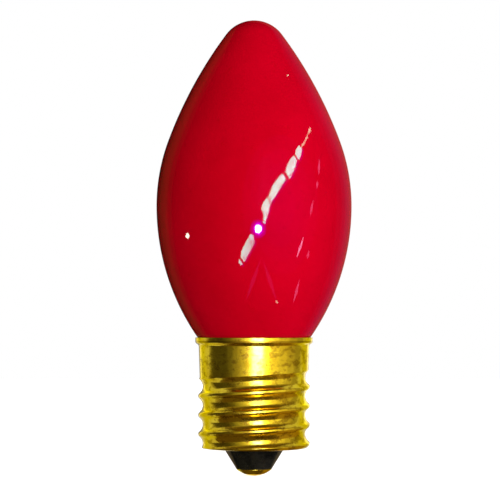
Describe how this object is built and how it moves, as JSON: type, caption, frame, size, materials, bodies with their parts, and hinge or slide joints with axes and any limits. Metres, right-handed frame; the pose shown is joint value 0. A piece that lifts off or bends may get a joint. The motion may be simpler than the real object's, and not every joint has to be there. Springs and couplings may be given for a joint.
{
  "type": "christmas light bulb",
  "caption": "Opaque red flame-shaped decorative lamp: painted glass bulb on a small brass screw cap with a black insulator cone and a domed centre contact.",
  "frame": {"origin": "lowest point of the domed centre contact, on the axis of the screw cap", "axes": "+Z along the axis from the centre contact to the tip of the glass; -Y is the side that the picture shows"},
  "size_m": [0.029, 0.029, 0.0677],
  "materials": {
    "painted_glass": "gloss",
    "shell_brass": "worn gloss",
    "contact_brass": "satin",
    "black_insulator": "gloss",
    "cement": "matt",
    "lead_wire": "satin",
    "solder": "satin"
  },
  "bodies": {
    "root": {"glass_bulb": "painted_glass", "screw_shell": "shell_brass", "base_insulator": "black_insulator", "centre_contact": "contact_brass", "basing_cement": "cement", "centre_lead_wire": "lead_wire", "side_lead_wire": "lead_wire", "side_solder": "solder"}
  },
  "joints": []
}
